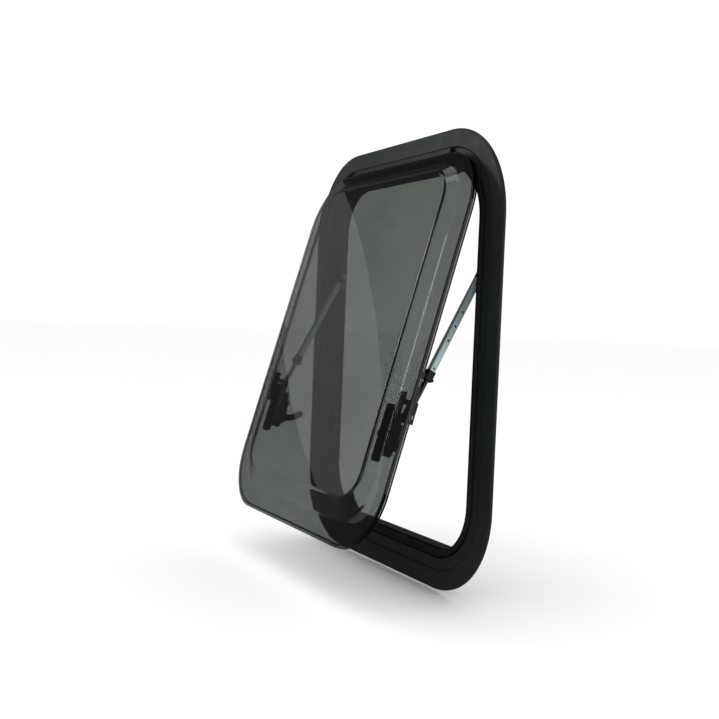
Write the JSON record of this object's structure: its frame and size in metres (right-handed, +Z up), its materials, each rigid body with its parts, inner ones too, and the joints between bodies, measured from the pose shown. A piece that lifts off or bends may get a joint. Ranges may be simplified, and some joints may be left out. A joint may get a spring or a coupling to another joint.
{
  "type": "camper side window",
  "caption": "Top-hung tinted window for a camper wall: rounded black frame, domed double pane on a hinge rail, two telescopic stays and two turn latches.",
  "frame": {"origin": "centre of the frame on the wall's outer skin (the flange's back face)", "axes": "+X to the right seen from outside, +Y into the vehicle, +Z up towards the hinge"},
  "size_m": [0.49, 0.1792, 0.59],
  "materials": {
    "black_abs": "fine moulded grain, semi-matt",
    "epdm": "matt rubber",
    "black_aluminium": "black anodised, satin",
    "steel": "plated steel",
    "dark_steel": "dark anodised tube",
    "black_nylon": "moulded glass-filled nylon",
    "aluminium": "satin extrusion",
    "bond_tape": "black bonding strip",
    "tinted_acrylic_outer": "grey tinted clear acrylic",
    "tinted_acrylic_inner": "grey tinted clear acrylic"
  },
  "bodies": {
    "frame": {"frame_moulding": "black_abs", "wall_gasket": "epdm", "pane_seal": "epdm", "hinge_rail": "black_aluminium", "hinge_rail_screws": "steel", "hinge_end_caps": "black_nylon", "latch_strikers": "black_nylon", "striker_screws": "steel", "stay_frame_brackets": "black_nylon", "bracket_screws": "steel", "stay_pivot_pins": "steel", "stay_washers": "black_nylon"},
    "pane": {"pane_outer": "tinted_acrylic_outer", "bond_tape": "bond_tape", "pane_inner": "tinted_acrylic_inner", "hinge_hook": "black_aluminium", "pane_screws": "steel", "latch_plates": "black_nylon", "latch_housings": "black_nylon", "latch_pins": "steel", "stay_foot_brackets": "black_nylon"},
    "stay_tube_right": {"stay_tube_right": "aluminium", "stay_eye_right": "black_nylon", "stay_cap_right": "black_nylon"},
    "stay_rod_right": {"stay_rod_right": "dark_steel", "stay_piston_right": "black_nylon", "stay_detent_right": "steel", "stay_foot_eye_right": "black_nylon", "stay_foot_pin_right": "steel"},
    "stay_button_right": {"stay_button_right": "black_nylon"},
    "latch_lever_right": {"latch_lever_right": "black_nylon"},
    "stay_tube_left": {"stay_tube_left": "aluminium", "stay_eye_left": "black_nylon", "stay_cap_left": "black_nylon"},
    "stay_rod_left": {"stay_rod_left": "dark_steel", "stay_piston_left": "black_nylon", "stay_detent_left": "steel", "stay_foot_eye_left": "black_nylon", "stay_foot_pin_left": "steel"},
    "stay_button_left": {"stay_button_left": "black_nylon"},
    "latch_lever_left": {"latch_lever_left": "black_nylon"}
  },
  "joints": [
    {"name": "pane_hinge", "type": "hinge", "parent": "frame", "child": "pane", "pos_m": [0, -0.005, 0.262], "axis": [-1, 0, 0], "range_deg": [-16.3, 15.7]},
    {"name": "stay_pivot_right", "type": "hinge", "parent": "frame", "child": "stay_tube_right", "pos_m": [0.1845, 0.012, 0.114], "axis": [-1, 0, 0], "range_deg": [-27, 26]},
    {"name": "stay_slide_right", "type": "slide", "parent": "stay_tube_right", "child": "stay_rod_right", "axis": [0, -0.4791, -0.8778], "range_m": [-0.027, 0.026]},
    {"name": "stay_button_press_right", "type": "slide", "parent": "stay_tube_right", "child": "stay_button_right", "axis": [0, -0.8778, 0.4791], "range_m": [0, 0.0012], "stiffness_N_per_m": 800},
    {"name": "latch_turn_right", "type": "hinge", "parent": "pane", "child": "latch_lever_right", "pos_m": [0.166, -0.0925, -0.10207], "axis": [0, 0.9598, -0.2807], "range_deg": [0, 90]},
    {"name": "stay_pivot_left", "type": "hinge", "parent": "frame", "child": "stay_tube_left", "pos_m": [-0.1845, 0.012, 0.114], "axis": [-1, 0, 0], "range_deg": [-27, 26]},
    {"name": "stay_slide_left", "type": "slide", "parent": "stay_tube_left", "child": "stay_rod_left", "axis": [0, -0.4791, -0.8778], "range_m": [-0.027, 0.026]},
    {"name": "stay_button_press_left", "type": "slide", "parent": "stay_tube_left", "child": "stay_button_left", "axis": [0, -0.8778, 0.4791], "range_m": [0, 0.0012], "stiffness_N_per_m": 800},
    {"name": "latch_turn_left", "type": "hinge", "parent": "pane", "child": "latch_lever_left", "pos_m": [-0.166, -0.0925, -0.10207], "axis": [0, -0.9598, 0.2807], "range_deg": [0, 90]}
  ],
  "couplings": [
    {"joint": "stay_pivot_right", "follows": "pane_hinge", "ratio": 1.62},
    {"joint": "stay_slide_right", "follows": "pane_hinge", "m_per_rad": 0.090355},
    {"joint": "stay_pivot_left", "follows": "pane_hinge", "ratio": 1.62},
    {"joint": "stay_slide_left", "follows": "pane_hinge", "m_per_rad": 0.090355}
  ]
}
